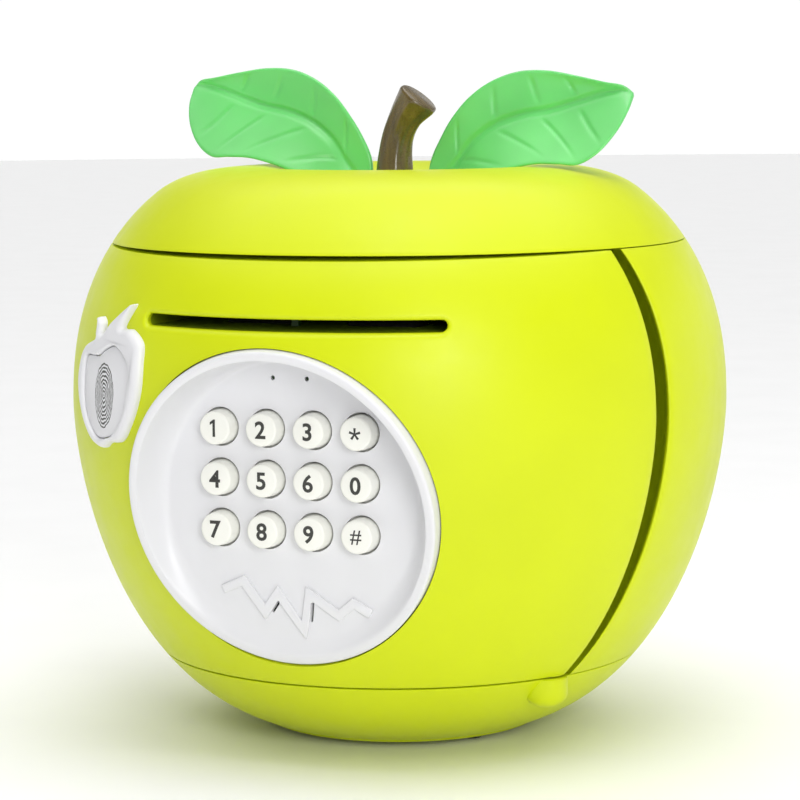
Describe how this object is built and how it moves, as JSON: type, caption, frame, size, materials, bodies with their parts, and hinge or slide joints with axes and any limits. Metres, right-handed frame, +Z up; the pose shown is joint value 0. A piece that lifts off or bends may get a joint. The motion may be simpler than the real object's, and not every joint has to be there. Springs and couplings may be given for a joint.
{
  "type": "keypad savings bank",
  "caption": "Apple-shaped savings bank with a hinged front door that carries a round keypad dish, a note slot and a fingerprint badge under a dished cap with a stem and leaves.",
  "frame": {"origin": "centre of the bank's bounding box on the surface it stands on", "axes": "front faces -Y, +X is on the viewer's right, +Z up"},
  "size_m": [0.1896, 0.1897, 0.1913],
  "materials": {
    "lime_shell": "satin moulded ABS",
    "white_plastic": "satin moulded ABS",
    "cream_keys": "satin with printed digits",
    "leaf_green": "satin, slightly translucent",
    "bark_brown": "gloss, moulded bark",
    "dark_plastic": "moulded",
    "gear_nylon": "natural nylon",
    "board_green": "solder mask",
    "black_rubber": "soft moulded",
    "steel": "plated",
    "cell_sleeve": "printed sleeve"
  },
  "bodies": {
    "housing": {"rear_shell": "lime_shell", "base_shell": "lime_shell", "top_cap": "lime_shell", "cap_deck": "lime_shell", "money_floor": "lime_shell", "stem": "bark_brown", "leaf_left": "leaf_green", "leaf_right": "leaf_green", "battery_box": "dark_plastic", "battery_cover": "lime_shell", "battery_1": "cell_sleeve", "battery_2": "cell_sleeve", "battery_3": "cell_sleeve", "battery_cover_screw": "steel", "foot_1": "black_rubber", "foot_2": "black_rubber", "foot_3": "black_rubber", "foot_4": "black_rubber", "hinge_pin_lower": "steel", "hinge_pin_upper": "steel", "lock_strike": "steel", "base_screw_1": "steel", "base_screw_2": "steel", "base_screw_3": "steel", "cap_screw_1": "steel", "cap_screw_2": "steel"},
    "door": {"door_panel": "lime_shell", "door_back_cover": "lime_shell", "keypad_plate": "white_plastic", "fingerprint_badge": "white_plastic", "circuit_board": "board_green", "key_mat": "black_rubber", "speaker": "dark_plastic", "lamp_holder": "dark_plastic", "note_guide": "dark_plastic", "feed_motor": "steel", "lock_housing": "dark_plastic", "door_screw_1": "steel", "door_screw_2": "steel", "door_screw_3": "steel", "door_screw_4": "steel"},
    "key_1": {"key_1": "cream_keys"},
    "key_2": {"key_2": "cream_keys"},
    "key_3": {"key_3": "cream_keys"},
    "key_star": {"key_star": "cream_keys"},
    "key_4": {"key_4": "cream_keys"},
    "key_5": {"key_5": "cream_keys"},
    "key_6": {"key_6": "cream_keys"},
    "key_0": {"key_0": "cream_keys"},
    "key_7": {"key_7": "cream_keys"},
    "key_8": {"key_8": "cream_keys"},
    "key_9": {"key_9": "cream_keys"},
    "key_hash": {"key_hash": "cream_keys"},
    "fingerprint_pad": {"fingerprint_pad": "white_plastic"},
    "feed_roller": {"feed_roller": "black_rubber", "roller_gear": "gear_nylon"},
    "pressure_roller": {"pressure_roller": "black_rubber"},
    "motor_pinion": {"motor_pinion": "gear_nylon"},
    "lock_bolt": {"lock_bolt": "steel"},
    "note_sensor": {"note_sensor": "dark_plastic"}
  },
  "joints": [
    {"name": "door_swing", "type": "hinge", "parent": "housing", "child": "door", "pos_m": [0.05704, -0.0335, 0.0239], "axis": [0, 0, 1], "range_deg": [0, 78]},
    {"name": "key_1_press", "type": "slide", "parent": "door", "child": "key_1", "axis": [0, 1, 0], "range_m": [0, 0.001], "stiffness_N_per_m": 300},
    {"name": "key_2_press", "type": "slide", "parent": "door", "child": "key_2", "axis": [0, 1, 0], "range_m": [0, 0.001], "stiffness_N_per_m": 300},
    {"name": "key_3_press", "type": "slide", "parent": "door", "child": "key_3", "axis": [0, 1, 0], "range_m": [0, 0.001], "stiffness_N_per_m": 300},
    {"name": "key_star_press", "type": "slide", "parent": "door", "child": "key_star", "axis": [0, 1, 0], "range_m": [0, 0.001], "stiffness_N_per_m": 300},
    {"name": "key_4_press", "type": "slide", "parent": "door", "child": "key_4", "axis": [0, 1, 0], "range_m": [0, 0.001], "stiffness_N_per_m": 300},
    {"name": "key_5_press", "type": "slide", "parent": "door", "child": "key_5", "axis": [0, 1, 0], "range_m": [0, 0.001], "stiffness_N_per_m": 300},
    {"name": "key_6_press", "type": "slide", "parent": "door", "child": "key_6", "axis": [0, 1, 0], "range_m": [0, 0.001], "stiffness_N_per_m": 300},
    {"name": "key_0_press", "type": "slide", "parent": "door", "child": "key_0", "axis": [0, 1, 0], "range_m": [0, 0.001], "stiffness_N_per_m": 300},
    {"name": "key_7_press", "type": "slide", "parent": "door", "child": "key_7", "axis": [0, 1, 0], "range_m": [0, 0.001], "stiffness_N_per_m": 300},
    {"name": "key_8_press", "type": "slide", "parent": "door", "child": "key_8", "axis": [0, 1, 0], "range_m": [0, 0.001], "stiffness_N_per_m": 300},
    {"name": "key_9_press", "type": "slide", "parent": "door", "child": "key_9", "axis": [0, 1, 0], "range_m": [0, 0.001], "stiffness_N_per_m": 300},
    {"name": "key_hash_press", "type": "slide", "parent": "door", "child": "key_hash", "axis": [0, 1, 0], "range_m": [0, 0.001], "stiffness_N_per_m": 300},
    {"name": "fingerprint_pad_press", "type": "slide", "parent": "door", "child": "fingerprint_pad", "axis": [0.5225, 0.8526, 0], "range_m": [0, 0.0008], "stiffness_N_per_m": 400},
    {"name": "feed_roller_spin", "type": "hinge", "parent": "door", "child": "feed_roller", "pos_m": [0.003, -0.058, 0.1166], "axis": [1, 0, 0], "continuous": true},
    {"name": "pressure_roller_spin", "type": "hinge", "parent": "door", "child": "pressure_roller", "pos_m": [0.003, -0.058, 0.1296], "axis": [1, 0, 0], "continuous": true},
    {"name": "motor_pinion_spin", "type": "hinge", "parent": "door", "child": "motor_pinion", "pos_m": [0.0516, -0.058, 0.1014], "axis": [1, 0, 0], "continuous": true},
    {"name": "note_sensor_tilt", "type": "hinge", "parent": "door", "child": "note_sensor", "pos_m": [0.003, -0.07823, 0.1304], "axis": [1, 0, 0], "range_deg": [0, 30], "stiffness_Nm_per_rad": 0.001},
    {"name": "lock_bolt_throw", "type": "slide", "parent": "door", "child": "lock_bolt", "axis": [-1, 0, 0], "range_m": [0, 0.005]}
  ],
  "couplings": [
    {"joint": "pressure_roller_spin", "follows": "feed_roller_spin", "ratio": -1.4},
    {"joint": "motor_pinion_spin", "follows": "feed_roller_spin", "ratio": -2}
  ]
}
